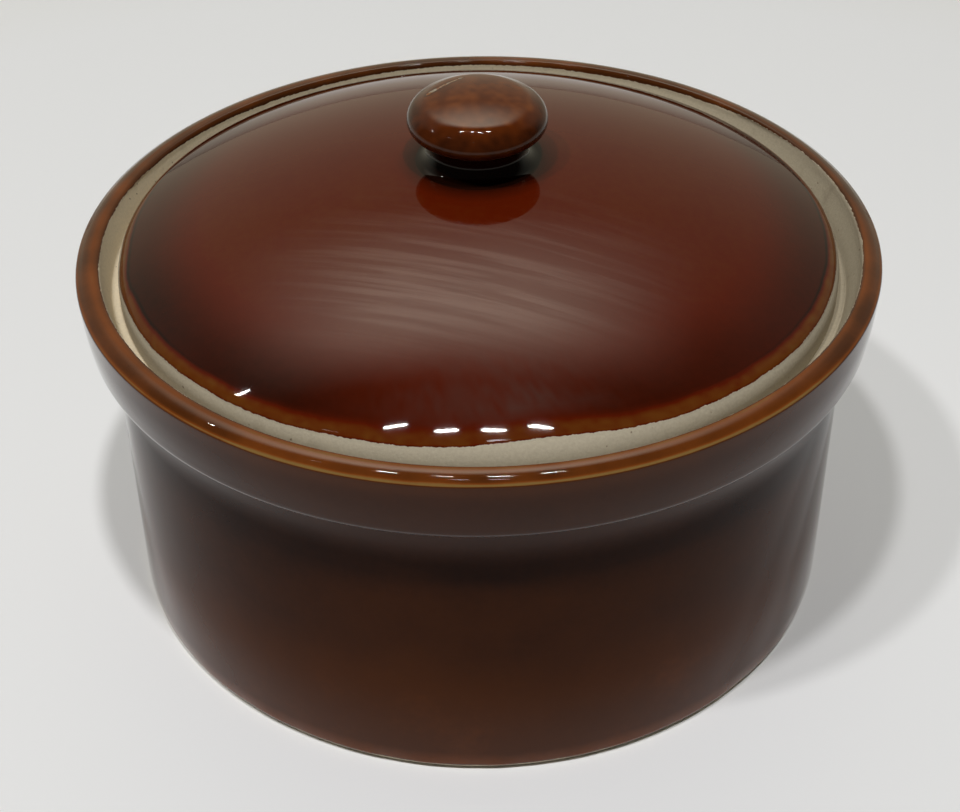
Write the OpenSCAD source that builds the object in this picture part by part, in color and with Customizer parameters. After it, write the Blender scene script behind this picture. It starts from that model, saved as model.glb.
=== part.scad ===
// Covered bowl: a straight-sided stoneware casserole with a thick collar, a loose domed lid
// that sits on a ledge inside the lip, and a mushroom knob on the lid.
// Every piece is turned about the Z axis. Millimetres, +Z up, with the origin on the table
// under the middle of the bowl.

/* [Body] */
// Outside diameter of the body just under the collar
body_d = 196.4; // [150:0.2:260]
// Extra width of the body at its foot, on the diameter
body_spread = 2.4; // [0:0.2:8]
// Height of the bowl at the flat crown of its lip
bowl_h = 100.7; // [75:0.1:150]
// Thickness of the wall
wall_t = 7.8; // [5:0.2:10]
// Thickness of the floor
floor_t = 8; // [4:0.5:14]
// Hollow radius between the floor and the wall
floor_fillet = 14; // [4:1:20]

/* [Foot] */
// Width of the bare ring that stands on the table
foot_w = 9; // [5:0.5:20]
// Depth of the recess inside the ring
foot_recess = 1.6; // [0.6:0.1:4]
// Width of the slope from the ring up to the recess
foot_slope_w = 2.5; // [1:0.1:6]
// Rounding of the ring's outer edge
foot_round = 2.4; // [0.5:0.1:5]
// Rounding of the ring's inner edge
foot_inner_round = 0.8; // [0.2:0.1:2]

/* [Collar] */
// Height of the collar, from its lower edge to the outer edge of the lip
collar_h = 15.7; // [12:0.1:30]
// Distance that the collar's lower edge stands out from the body
collar_out = 5.6; // [3:0.1:9]
// Further distance that the collar leans out at the lip
collar_lean = 1.2; // [0:0.1:4]
// Distance that the collar tucks in at its lower edge
collar_tuck = 1; // [0:0.1:2]
// Height of the part that tucks in
collar_tuck_h = 8; // [4:0.1:10]
// Rounding over the part that tucks in
collar_tuck_round = 60; // [5:5:80]
// Rounding of the collar's lower edge
collar_round = 3.2; // [0.5:0.1:4]
// Height of the sloped underside, from the collar's lower edge down to the body
crease_drop = 1.2; // [0.4:0.1:4]
// Hollow radius where the underside meets the body
crease_fillet = 2.5; // [0.3:0.1:3]
// Distance that the body flares out under the collar
flare_out = 1.3; // [0:0.1:2.5]
// Height of that flare
flare_h = 9; // [4:0.1:14]
// Hollow radius at the flare's lower end
flare_round = 40; // [5:5:60]

/* [Lip] */
// Width across the top of the lip
lip_w = 6.4; // [5:0.1:9]
// Width of the slope from the flat crown to the outer edge
lip_slope_w = 2.8; // [1.5:0.1:4]
// Fall of that slope
lip_fall = 1.8; // [0.6:0.1:4]
// Rounding between the crown and the slope
lip_roll = 5; // [1:0.5:8]
// Rounding of the lip's inner edge
lip_round = 1.3; // [0.3:0.1:2]
// Rounding of the lip's outer edge
lip_edge_round = 0.8; // [0.2:0.1:2]

/* [Lid seat] */
// Depth of the ledge under the crown of the lip
seat_depth = 9.7; // [6:0.1:16]
// Distance that the wall over the ledge leans in from the lip
seat_lean = 2.2; // [0:0.1:4]
// Hollow radius between that wall and the ledge
seat_fillet = 1.2; // [0.2:0.1:2]
// Width of the ledge that carries the lid
ledge_w = 7.2; // [6:0.1:12]
// Height of the ledge's inner edge
ledge_t = 3; // [1:0.1:6]
// Height of the slope from the ledge back to the wall
ledge_slope_h = 4; // [2:0.1:10]
// Rounding of the ledge's inner edge
ledge_round = 1.2; // [0.2:0.1:2]

/* [Lid] */
// Clearance between the lid's side and the foot of the wall over the ledge
lid_gap = 3.1; // [1:0.1:4]
// Height of the lid's upright side
lid_side_h = 4.5; // [3:0.1:12]
// Rise of the dome over the upright side
lid_rise = 25.7; // [14:0.1:45]
// Thickness of the dome
lid_t = 6.5; // [5:0.1:8]
// Rounding between the side and the dome
lid_edge_round = 6; // [1:0.1:8]
// Width of the flat ring under the lid
lid_seat_w = 8; // [6.5:0.1:12]
// Rounding of the ring's two lower edges
lid_foot_round = 0.8; // [0.2:0.1:2]
// Hollow radius between the ring and the dome inside
lid_fillet = 4; // [1:0.1:4]

/* [Knob] */
// Diameter of the knob's cap
knob_d = 35.8; // [28:0.2:60]
// Height of the knob over its seat on the lid
knob_h = 18.6; // [16:0.1:30]
// Thickness of the cap
knob_cap_t = 9; // [8.2:0.1:11]
// Overhang of the cap past the neck, for the fingertips
knob_overhang = 5.9; // [4.5:0.1:9]
// Rounding of the cap's upper edge
knob_top_round = 5.8; // [2:0.1:6.6]
// Rounding of the cap's lower edge
knob_under_round = 2.2; // [1:0.1:3]
// Hollow radius between the neck and the cap
knob_neck_fillet = 1.8; // [0.3:0.1:3]
// Hollow flare where the neck spreads on to the lid
knob_flare = 4; // [1:0.1:5]
// Height of the foot's own edge under the flare
knob_foot_t = 0.2; // [0.1:0.1:1.5]

/* [Hidden] */
$fn = 180;

// Largest turn between two points of an arc, in degrees
arc_step = 10;
// Largest distance between two points of an arc
arc_chord = 5;
// Largest share of an edge that the rounding at one of its ends may take
edge_share = 0.49;
// Half angle at which a corner counts as straight
straight_half = 89.9;

glaze = [0.33, 0.16, 0.1];
glaze_deep = [0.4, 0.18, 0.08];

// Bowl radii, from the body out to the lip and back in to the cavity
body_r = body_d / 2;
foot_r = body_r + body_spread / 2;
foot_in_r = foot_r - foot_w;
collar_r = body_r + collar_out;
rim_r = collar_r + collar_lean;
lip_r = rim_r - lip_w;
seat_r = lip_r - seat_lean;
ledge_r = seat_r - ledge_w;

// Bowl heights
lip_edge_z = bowl_h - lip_fall;
collar_z = lip_edge_z - collar_h;
crease_z = collar_z - crease_drop;
seat_z = bowl_h - seat_depth;
floor_z = foot_recess + floor_t;

// Lid: the dome is the sphere that runs tangent into the edge rounding
lid_r = seat_r - lid_gap;
lid_in_r = lid_r - lid_seat_w;
lid_dome_r = dome_radius(lid_r, lid_edge_round, lid_rise);
lid_dome_z = seat_z + lid_side_h + lid_rise - lid_dome_r;

// Knob: its flat foot sits on a flat of the same width at the top of the dome
knob_r = knob_d / 2;
neck_r = knob_r - knob_overhang;
knob_foot_r = neck_r + knob_flare;
knob_z = lid_dome_z + sqrt(pow(lid_dome_r, 2) - pow(knob_foot_r, 2));
knob_under_z = knob_z + knob_h - knob_cap_t;
neck_fillet = min(knob_neck_fillet, knob_overhang - knob_under_round);
knob_dome_r = dome_radius(knob_r, knob_top_round, knob_cap_t - knob_under_round);
knob_dome_z = knob_z + knob_h - knob_dome_r;

function unit(v) = v / norm(v);
function tail(points) = [for (i = [1:len(points) - 1]) points[i]];
function reversed(points) = [for (i = [len(points) - 1:-1:0]) points[i]];
function half_turn(a) = a > 180 ? a - 360 : a < -180 ? a + 360 : a;

// Points along an arc, both ends included
function arc(centre, radius, from, to) =
    let (
        turn = abs(to - from),
        steps = max(1, ceil(turn / arc_step), ceil(turn * PI / 180 * radius / arc_chord))
    )
    [for (i = [0:steps])
        let (a = from + (to - from) * i / steps)
        centre + radius * [cos(a), sin(a)]];

// Points that round the corner p between its neighbours a and b
function corner(a, p, b, radius) =
    let (u = unit(a - p), v = unit(b - p), half = acos(u * v) / 2)
    radius <= 0 || half > straight_half ? [p] :
    let (
        reach = min(radius / tan(half), edge_share * min(norm(a - p), norm(b - p))),
        r = reach * tan(half),
        centre = p + unit(u + v) * r / sin(half),
        from = p + u * reach - centre,
        to = p + v * reach - centre,
        start = atan2(from.y, from.x)
    )
    arc(centre, r, start, start + half_turn(atan2(to.y, to.x) - start));

// An outline from corners given as [radius from the axis, height, rounding]
function rounded(corners) =
    let (n = len(corners), at = [for (c = corners) [c[0], c[1]]])
    [for (i = [0:n - 1])
        each corner(at[(i + n - 1) % n], at[i], at[(i + 1) % n], corners[i][2])];

// Radius of a dome whose top is rise over the middle of an edge rounding that it runs tangent into
function dome_radius(side_r, edge, rise) =
    (pow(rise, 2) + pow(side_r - edge, 2) - pow(edge, 2)) / (2 * (rise - edge));

// Outline from an upright side over its edge rounding and up a dome, as far as the radius stop_r
function domed(side_r, edge, dome_r, dome_z, stop_r) =
    let (
        lift = sqrt(pow(dome_r - edge, 2) - pow(side_r - edge, 2)),
        tangent = atan2(lift, side_r - edge)
    )
    concat(
        arc([side_r - edge, dome_z + lift], edge, 0, tangent),
        tail(arc([0, dome_z], dome_r, tangent, acos(stop_r / dome_r)))
    );

// The pot: foot ring, body, collar, lip, ledge for the lid, and the cavity
module bowl() {
    color(glaze)
    rotate_extrude()
    polygon(rounded([
        [foot_in_r, 0, foot_inner_round],
        [foot_r, 0, foot_round],
        [body_r, crease_z - flare_h, flare_round],
        [body_r + flare_out, crease_z, crease_fillet],
        [collar_r, collar_z, collar_round],
        [collar_r + collar_tuck, collar_z + collar_tuck_h, collar_tuck_round],
        [rim_r, lip_edge_z, lip_edge_round],
        [rim_r - lip_slope_w, bowl_h, lip_roll],
        [lip_r, bowl_h, lip_round],
        [seat_r, seat_z, seat_fillet],
        [ledge_r, seat_z, ledge_round],
        [ledge_r, seat_z - ledge_t, ledge_round],
        [body_r - wall_t, seat_z - ledge_t - ledge_slope_h, ledge_slope_h],
        [foot_r - wall_t, floor_z, floor_fillet],
        [0, floor_z, 0],
        [0, foot_recess, 0],
        [foot_in_r - foot_slope_w, foot_recess, foot_inner_round],
    ]));
}

// The loose lid: a domed shell on a flat ring, with a flat on top for the knob
module lid() {
    color(glaze_deep)
    rotate_extrude()
    polygon(concat(
        arc([lid_in_r + lid_foot_round, seat_z + lid_foot_round], lid_foot_round, 180, 270),
        arc([lid_r - lid_foot_round, seat_z + lid_foot_round], lid_foot_round, -90, 0),
        domed(lid_r, lid_edge_round, lid_dome_r, lid_dome_z, knob_foot_r),
        [[0, knob_z]],
        reversed(domed(lid_in_r, lid_fillet, lid_dome_r - lid_t, lid_dome_z, 0))
    ));
}

// The knob: a flared foot, a neck and a rounded cap that overhangs it
module lid_knob() {
    color(glaze_deep)
    rotate_extrude()
    polygon(concat(
        [[0, knob_z], [knob_foot_r, knob_z]],
        arc([knob_foot_r, knob_z + knob_foot_t + knob_flare], knob_flare, 270, 180),
        arc([neck_r + neck_fillet, knob_under_z - neck_fillet], neck_fillet, 180, 90),
        arc([knob_r - knob_under_round, knob_under_z + knob_under_round], knob_under_round, -90, 0),
        tail(domed(knob_r, knob_top_round, knob_dome_r, knob_dome_z, 0))
    ));
}

bowl();
lid();
lid_knob();
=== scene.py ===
"""Covered bowl: a glazed stoneware casserole with a loose domed lid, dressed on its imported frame."""
import math

import bmesh
import bpy
from bpy.props import FloatProperty, FloatVectorProperty, PointerProperty
from mathutils import Matrix, Vector, noise
from mathutils.geometry import intersect_point_line


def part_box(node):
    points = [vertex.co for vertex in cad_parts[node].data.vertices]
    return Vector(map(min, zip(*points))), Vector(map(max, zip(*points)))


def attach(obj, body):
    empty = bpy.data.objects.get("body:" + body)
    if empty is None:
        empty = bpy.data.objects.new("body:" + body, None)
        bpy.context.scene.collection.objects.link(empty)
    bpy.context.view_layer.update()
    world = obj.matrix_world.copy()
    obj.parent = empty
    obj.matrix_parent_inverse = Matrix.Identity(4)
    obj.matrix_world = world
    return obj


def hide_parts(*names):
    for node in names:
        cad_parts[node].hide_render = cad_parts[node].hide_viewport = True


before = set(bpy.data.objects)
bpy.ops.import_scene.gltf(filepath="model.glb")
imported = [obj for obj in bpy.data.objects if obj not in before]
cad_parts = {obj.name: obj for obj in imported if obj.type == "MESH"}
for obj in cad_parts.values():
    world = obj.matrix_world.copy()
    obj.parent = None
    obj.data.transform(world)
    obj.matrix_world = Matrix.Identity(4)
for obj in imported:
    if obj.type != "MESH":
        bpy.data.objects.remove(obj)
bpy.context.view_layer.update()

bl_info = {
    "name": "Covered Bowl",
    "version": (1, 0, 0),
    "blender": (4, 5, 0),
    "location": "View3D > Sidebar > Covered Bowl",
    "description": "Builds a glazed stoneware casserole with a loose domed lid",
    "category": "Object",
}

MM = 0.001
LID_LOW, LID_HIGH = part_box("lid")
# The lid's clay edge swells past its turned side, in millimetres
LID_SWELL = 1.5
KNOB_LOW, KNOB_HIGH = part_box("lid_knob")

# Turned surfaces: steps in a full turn, and the equal sectors that make it up
TURN_STEPS = 384
SECTORS = 8
# Points on a rounded corner, on most of a piece and where the gloss shows each of them
CORNER_SEGMENTS, FINE_SEGMENTS = 6, 14
# Largest turn between two points of an arc, and largest length, in general and where it is fine
ARC_TURN = math.radians(6)
ARC_LENGTH, FINE_LENGTH = 2.5 * MM, 0.35 * MM
# Largest share of an edge that the rounding at one of its ends takes
EDGE_SHARE = 0.49
# Distance within which the points of neighbouring sectors are one
SEAM = 1e-6
# Turn between two faces from which their edge is shaded sharp
SHARP = math.radians(60)


def length(name, description, millimetres):
    """A length property, written in millimetres and held in metres."""
    return FloatProperty(name=name, description=description, default=millimetres * MM, min=0,
                         unit="LENGTH", precision=4)


def turn(name, description, degrees):
    """An angle property, written in degrees and held in radians."""
    return FloatProperty(name=name, description=description, default=math.radians(degrees),
                         subtype="ANGLE")


def colour(name, description, rgb):
    """A colour property in linear light."""
    return FloatVectorProperty(name=name, description=description, default=rgb, size=3, min=0, max=1,
                               subtype="COLOR")


def share(name, description, value):
    """A plain number from 0 to 1."""
    return FloatProperty(name=name, description=description, default=value, min=0, max=1,
                         subtype="FACTOR")


class BowlSizes(bpy.types.PropertyGroup):
    """Sizes of the bowl"""
    body_r: length("Body radius", "Radius just under the collar", 98.2)
    foot_r: length("Foot radius", "Radius at the foot", 99.4)
    height: length("Height", "Height of the lip's flat crown", 100.7)
    wall_t: length("Wall", "Thickness of the wall", 7.8)
    floor_z: length("Floor height", "Height of the inside floor over the table", 9.6)
    floor_fillet: length("Floor fillet", "Hollow radius between floor and wall", 14)
    foot_w: length("Foot width", "Width of the ring that stands on the table", 9)
    foot_recess: length("Foot recess", "Depth of the recess inside the ring", 1.6)
    foot_slope_w: length("Foot slope", "Width of the slope up to the recess", 2.5)
    foot_round: length("Foot rounding", "Rounding of the ring's outer edge", 2.4)
    foot_inner_round: length("Foot inner rounding", "Rounding of the ring's inner edge", 0.8)
    collar_z: length("Collar height", "Height of the collar's lower edge", 83.2)
    collar_r: length("Collar radius", "Radius of the collar's lower edge", 103.8)
    collar_tuck: length("Collar tuck", "Distance that the collar tucks in at its lower edge", 1)
    collar_tuck_h: length("Tuck height", "Height of the part that tucks in", 8)
    collar_tuck_round: length("Tuck rounding", "Rounding over the part that tucks in", 60)
    collar_round: length("Collar rounding", "Rounding of the collar's lower edge", 3.2)
    crease_drop: length("Crease drop", "Height of the collar's sloped underside", 1.2)
    crease_fillet: length("Crease fillet", "Hollow radius under the collar", 2.5)
    flare_out: length("Flare", "Distance that the body flares out under the collar", 1.3)
    flare_h: length("Flare height", "Height of that flare", 9)
    flare_round: length("Flare rounding", "Hollow radius at the flare's lower end", 40)
    rim_r: length("Rim radius", "Radius of the lip's outer edge", 105)
    lip_w: length("Lip width", "Width across the top of the lip", 6.4)
    lip_slope_w: length("Lip slope", "Width of the slope from the crown to the outer edge", 2.8)
    lip_fall: length("Lip fall", "Fall of that slope", 1.8)
    lip_roll: length("Lip roll", "Rounding between the crown and the slope", 5)
    lip_round: length("Lip rounding", "Rounding of the inner edge", 1.3)
    lip_edge_round: length("Lip edge rounding", "Rounding of the outer edge", 0.8)
    rim_tilt: length("Rim tilt", "Rise of the lip at the front, and its fall at the back", 0.8)
    rim_roll: length("Rim roll", "Rise of the lip at the right, and its fall at the left", 0.5)
    seat_depth: length("Seat depth", "Depth of the ledge under the crown", 9.7)
    seat_lean: length("Seat lean", "Distance that the wall over the ledge leans in", 2.2)
    seat_fillet: length("Seat fillet", "Hollow radius between that wall and the ledge", 1.2)
    ledge_w: length("Ledge width", "Width of the ledge that carries the lid", 7.2)
    ledge_t: length("Ledge edge", "Height of the ledge's inner edge", 3)
    ledge_slope_h: length("Ledge slope", "Height of the slope back to the wall", 4)
    ledge_round: length("Ledge rounding", "Rounding of the ledge's inner edge", 1.2)


class LidSizes(bpy.types.PropertyGroup):
    """Sizes of the lid"""
    radius: length("Radius", "Radius of the upright side", LID_HIGH[0] / MM + LID_SWELL)
    seat_z: length("Seat height", "Height of the ledge that the lid rests on", LID_LOW[2] / MM)
    side_h: length("Side", "Height of the upright side", 4.5)
    rise: length("Rise", "Rise of the dome over the side", 25.7)
    thickness: length("Thickness", "Thickness of the dome", 6.5)
    edge_round: length("Edge rounding", "Rounding between side and dome", 5.3)
    ring_w: length("Ring width", "Width of the flat ring under the lid", 8)
    ring_round: length("Ring rounding", "Rounding of the ring's lower edges", 0.8)
    fillet: length("Fillet", "Hollow radius between ring and dome inside", 4)


class KnobSizes(bpy.types.PropertyGroup):
    """Sizes of the knob"""
    radius: length("Radius", "Radius of the cap", KNOB_HIGH[0] / MM)
    foot_z: length("Foot height", "Height of the knob's seat on the lid", KNOB_LOW[2] / MM)
    top_z: length("Top height", "Height of the knob's top", KNOB_HIGH[2] / MM)
    cap_t: length("Cap thickness", "Thickness of the cap", 9)
    overhang: length("Overhang", "Overhang of the cap past the neck", 5.9)
    top_round: length("Upper rounding", "Rounding of the cap's upper edge", 4)
    shoulder_slope: turn("Shoulder slope", "Slope of the shoulder over that edge", 29)
    shoulder_round: length("Shoulder rounding", "Rounding between the shoulder and the crown", 9)
    crown_slope: turn("Crown slope", "Slope at which the crown ends", 14)
    under_round: length("Lower rounding", "Rounding of the cap's lower edge", 2.2)
    neck_fillet: length("Neck fillet", "Hollow radius between neck and cap", 1.8)
    flare: length("Flare", "Hollow flare where the neck meets the lid", 4)
    cap_lean: turn("Cap lean", "Lean of the cap to the front, as it was set on by hand", 4)


class GlazeLook(bpy.types.PropertyGroup):
    """Colours and gloss of the glaze and the bare clay"""
    amber: colour("Amber", "Thin glaze on the bowl's lip and on the knob", (0.19, 0.108, 0.032))
    orange: colour("Orange brown", "Glaze that thins towards an edge", (0.16, 0.04, 0.006))
    olive: colour("Olive", "Thin glaze at the lid's edge", (0.1, 0.055, 0.014))
    tan: colour("Tan", "Glaze that thins towards the lid's edge", (0.105, 0.03, 0.004))
    red_brown: colour("Red brown", "Glaze of even thickness on the lid", (0.076, 0.007, 0.0008))
    warm_brown: colour("Warm brown", "Glaze of even thickness on the knob", (0.08, 0.016, 0.0022))
    brown: colour("Brown", "Glaze of even thickness on the bowl", (0.066, 0.018, 0.0035))
    pooled: colour("Pooled", "Thick glaze in a crease", (0.01, 0.0025, 0.001))
    clay: colour("Clay", "Bare fired clay of the lid", (0.4, 0.35, 0.262))
    # The bowl's clay is drawn paler than the lid's: painted light on its inner wall and ledge
    bowl_clay_painted_light: colour("Bowl clay", "Bare fired clay of the bowl", (0.55, 0.475, 0.345))
    # A dried film on the lid's front, with its hazy reflection of the lamps painted into this colour
    film_and_painted_haze: colour("Film", "Thin dried film on the front of the lid", (0.062, 0.04, 0.032))
    clay_stain: colour("Clay stain", "Iron specks and stains on the clay", (0.1, 0.06, 0.035))
    gloss_rough: share("Gloss roughness", "Roughness of clean glaze", 0.022)
    smear_rough: share("Smear roughness", "Roughness added where the lid was wiped", 0.16)
    smear_gloss: share("Smear gloss", "Strength of the clear smears where the lid was wiped", 0.65)
    clay_rough: share("Clay roughness", "Roughness of bare clay", 0.78)
    bowl_ior: FloatProperty(name="Bowl index", description="Index of refraction of the bowl's glaze",
                            default=1.15, min=1, max=2)
    lid_ior: FloatProperty(name="Lid index", description="Index of refraction of the lid's glaze",
                           default=1.26, min=1, max=2)
    top_ior: FloatProperty(name="Top index", description="Index of refraction of the clear top layer",
                           default=1.25, min=1, max=2)
    clay_inset: length("Clay inset", "Depth of bare clay under the face of the glaze", 0.25)


class StudioSettings(bpy.types.PropertyGroup):
    """Floor, lamps and camera"""
    floor: colour("Floor", "Pale floor", (0.79, 0.79, 0.795))
    far_floor: colour("Far floor", "Floor well away from the bowl", (0.7, 0.67, 0.58))
    fade_from: length("Fade from", "Distance from the bowl at which the floor starts to darken", 380)
    fade_to: length("Fade to", "Distance at which it is as dark as it gets", 800)
    lens: FloatProperty(name="Lens", description="Focal length", default=61.05, min=1, unit="CAMERA")
    camera_at: FloatVectorProperty(name="Camera", description="Place of the camera",
                                   default=(-0.000437, -0.368798, 0.32748), size=3,
                                   subtype="TRANSLATION")
    pitch: turn("Pitch", "Angle of the camera below level", 37.937)
    pan: turn("Pan", "Turn of the camera about the upright", -0.076)
    roll: turn("Roll", "Turn of the camera about its line of sight", -0.497)


class CoveredBowl(bpy.types.PropertyGroup):
    """All settings of the covered bowl"""
    bowl: PointerProperty(type=BowlSizes)
    lid: PointerProperty(type=LidSizes)
    knob: PointerProperty(type=KnobSizes)
    look: PointerProperty(type=GlazeLook)
    studio: PointerProperty(type=StudioSettings)


# Outlines: half sections in the XZ plane, drawn as a chain of points from the axis and back to it

def start_outline():
    """A bmesh with the layers that every turned piece carries."""
    bm = bmesh.new()
    for layer in ("along", "glaze_edge", "glaze_depth_and_painted_light", "sheen"):
        bm.verts.layers.float.new(layer)
    return bm


def point(bm, radius, height, last=None):
    """A point of the outline, joined to the last one."""
    new = bm.verts.new((radius, 0, height))
    if last:
        bm.edges.new((last, new))
    return new


def arc(bm, last, centre_r, centre_z, sweep, longest=ARC_LENGTH):
    """Carries the end of the outline round a centre; a positive sweep is anticlockwise."""
    radius = math.hypot(last.co.x - centre_r, last.co.z - centre_z)
    steps = max(2, math.ceil(abs(sweep) / ARC_TURN), math.ceil(abs(sweep) * radius / longest))
    made = bmesh.ops.spin(bm, geom=[last], cent=(centre_r, 0, centre_z), axis=(0, -1, 0),
                          angle=sweep, steps=steps)
    return next(part for part in made["geom_last"] if isinstance(part, bmesh.types.BMVert))


def rounded_chain(bm, corners, fine_z):
    """A chain through corners of (radius, height, rounding), bevelled round, finely from a height up."""
    chain = []
    for radius, height, _ in corners:
        chain.append(point(bm, radius, height, chain[-1] if chain else None))
    reaches = []
    for before, vert, after, corner in zip(chain, chain[1:], chain[2:], corners[1:]):
        to_before, to_after = before.co - vert.co, after.co - vert.co
        half = to_before.angle(to_after) / 2
        longest = EDGE_SHARE * min(to_before.length, to_after.length)
        segments = CORNER_SEGMENTS if corner[1] < fine_z else FINE_SEGMENTS
        reaches.append((vert, min(corner[2] / math.tan(half), longest), segments))
    for vert, reach, segments in reaches:
        bmesh.ops.bevel(bm, geom=[vert], offset=reach, offset_type="OFFSET", profile=0.5,
                        segments=segments, affect="VERTICES", material=-1, clamp_overlap=False)


def lid_dome(lid):
    """Radius of the lid's dome, which runs tangent into the edge rounding, and its centre's height."""
    edge_r, rise = lid.radius - lid.edge_round, lid.rise
    radius = (rise ** 2 + edge_r ** 2 - lid.edge_round ** 2) / (2 * (rise - lid.edge_round))
    return radius, lid.seat_z + lid.side_h + rise - radius


def dome_lift(side_r, edge, dome_r):
    """Height of the edge rounding's centre over the dome's, and the angle at which they meet."""
    lift = math.sqrt((dome_r - edge) ** 2 - (side_r - edge) ** 2)
    return lift, math.atan2(lift, side_r - edge)


def refine(bm, step_at):
    """Cuts each long edge of the outline into steps of the length that its place asks for."""
    for edge in list(bm.edges):
        middle = (edge.verts[0].co + edge.verts[1].co) / 2
        cuts = math.ceil(edge.calc_length() / step_at(middle.x, middle.z)) - 1
        if cuts > 0:
            bmesh.ops.subdivide_edges(bm, edges=[edge], cuts=cuts)


def measure(bm, start_z):
    """Writes each point's distance along the outline from its end on the axis at a height, and
    returns the outline's points in order."""
    along = bm.verts.layers.float["along"]
    ends = [vert for vert in bm.verts if len(vert.link_edges) == 1]
    vert = min(ends, key=lambda end: abs(end.co.z - start_z))
    chain, came_by, total = [], None, 0.0
    while vert:
        vert[along] = total
        chain.append((vert.co.copy(), total))
        onward = next((edge for edge in vert.link_edges if edge is not came_by), None)
        if onward is None:
            return chain
        total += onward.calc_length()
        came_by, vert = onward, onward.other_vert(vert)


def along_at(chain, radius, height):
    """Distance along the outline of the point nearest to a place."""
    place = Vector((radius, 0, height))
    return min(chain, key=lambda item: (item[0] - place).length)[1]


def turn_outline(bm):
    """Turns the outline about Z: one sector by a spin, and the others as turned copies."""
    sector = 2 * math.pi / SECTORS
    bmesh.ops.spin(bm, geom=bm.verts[:] + bm.edges[:], cent=(0, 0, 0), axis=(0, 0, 1),
                   angle=sector, steps=TURN_STEPS // SECTORS)
    first = bm.verts[:] + bm.edges[:] + bm.faces[:]
    for number in range(1, SECTORS):
        copy = bmesh.ops.duplicate(bm, geom=first)["geom"]
        bmesh.ops.rotate(bm, verts=[part for part in copy if isinstance(part, bmesh.types.BMVert)],
                         cent=(0, 0, 0), matrix=Matrix.Rotation(number * sector, 3, "Z"))
    bmesh.ops.remove_doubles(bm, verts=bm.verts[:], dist=SEAM)
    bmesh.ops.recalc_face_normals(bm, faces=bm.faces[:])
    bm.normal_update()


# Glaze: where it ends and how thick it is, written on the points of each piece

# Distances from the end of the glaze between which bare clay steps back under it
CLAY_STEP = (-0.35 * MM, 0.1 * MM)


def hump(angle, centre, spread):
    """A smooth hump of height 1 round the turn, with its centre and spread in degrees."""
    apart = (angle - centre + 180) % 360 - 180
    return math.exp(-(apart / spread) ** 2)


def round_turn(angle, base, *humps):
    """A value round the turn: a base and humps of (height, centre, spread), angles in degrees."""
    return base + sum(height * hump(angle, centre, spread) for height, centre, spread in humps)


def mottle(vert, *layers):
    """A smooth random value at a point, from layers of (height, scale per metre, seed)."""
    return sum(height * noise.noise(vert.co * scale + Vector((seed, 0, 0)))
               for height, scale, seed in layers)


def smooth(value, low, high):
    """Goes from 0 at low to 1 at high with no corners; low may lie above high."""
    t = min(max((value - low) / (high - low), 0), 1)
    return t * t * (3 - 2 * t)


def bell(distance, spread):
    """1 at no distance and falling off evenly on both sides."""
    return math.exp(-(distance / spread) ** 2)


def banded(place, front, bands):
    """Sum of bands along the outline: height all round, height added at the front, place, spread."""
    return sum((height + front * at_front) * bell(place - at, spread)
               for height, at_front, at, spread in bands)


def finish_piece(bm, name, node, body, material):
    """Makes the object, lets it ride on its body and stand for its CAD node."""
    for face in bm.faces:
        face.smooth = True
    for edge in bm.edges:
        edge.smooth = edge.calc_face_angle(0) < SHARP
    mesh = bpy.data.meshes.new(name)
    bm.to_mesh(mesh)
    bm.free()
    mesh.materials.append(material)
    piece = bpy.data.objects.new(name, mesh)
    bpy.context.scene.collection.objects.link(piece)
    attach(piece, body)
    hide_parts(node)
    return piece


def outside(place, low, high):
    """Distance of a place on the outline from a bare stretch, negative inside it."""
    return max(low - place, place - high)


def coat(bm, edge_at, depth_and_painted_light_at, sheen_at, inset):
    """Writes the glaze on every point and sets sides of bare clay back under it.

    edge_at gives the distance from a point to the end of the glaze, negative on bare clay.
    depth_and_painted_light_at gives the thickness of the glaze, from 0 for thin to 1 for pooled,
    with painted shade in it under the bowl's collar and on the knob's neck, and on bare clay the
    light and shade painted on it, from dark to pale. sheen_at gives the strength of the clear top
    layer, or on a wiped lid that of the film, whose hazy reflection is painted into the colour.
    """
    along = bm.verts.layers.float["along"]
    edge_layer = bm.verts.layers.float["glaze_edge"]
    depth_and_light_layer = bm.verts.layers.float["glaze_depth_and_painted_light"]
    sheen_layer = bm.verts.layers.float["sheen"]
    for vert in bm.verts:
        angle = math.degrees(math.atan2(vert.co.y, vert.co.x)) % 360
        place = vert[along]
        edge = edge_at(vert, angle, place)
        vert[edge_layer] = edge
        vert[depth_and_light_layer] = min(max(depth_and_painted_light_at(vert, angle, place, edge), 0), 1)
        vert[sheen_layer] = min(max(sheen_at(vert, angle, place, edge), 0), 1)
        bare = inset * (1 - smooth(edge, *CLAY_STEP))
        vert.co -= Vector((vert.normal.x, vert.normal.y, 0)) * bare


# Materials

# Random patterns: the texture's scale per metre, detail and roughness, then two of its values and
# what these become
FRAY = (900, 3, 0.5), (0.3, 0.7, -0.15 * MM, 0.15 * MM)
CLOUDS = (38, 4, 0.55), (0.3, 0.7, -0.025, 0.025)
FLECKS = (420, 3, 0.6), (0.3, 0.7, -0.02, 0.02)
GRAIN = (1500, 3, 0.5), (0.25, 0.75, 0.92, 1.06)
STAINS = (110, 4, 0.6), (0.6, 0.85, 0, 0.35)
SPECKS = (620, 1, 0.5), (0.76, 0.8, 0, 0.7)
STREAKS = (1, 4, 0.6), (0.45, 0.62, 0, 1)
UNEVEN = (55, 3, 0.5), (0.35, 0.7, 1, 1.5)
RIPPLE = (70, 2, 0.5), (0.2, 0.8, 0, 0.12)
GRIT = (1100, 4, 0.65), (0.2, 0.8, 0, 0.5)
# Two written depths of bare clay and the brightness that these become: painted shade and painted light
CLAY_PAINTED_LIGHT = (0, 1, 0.6, 1.4)
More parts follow.
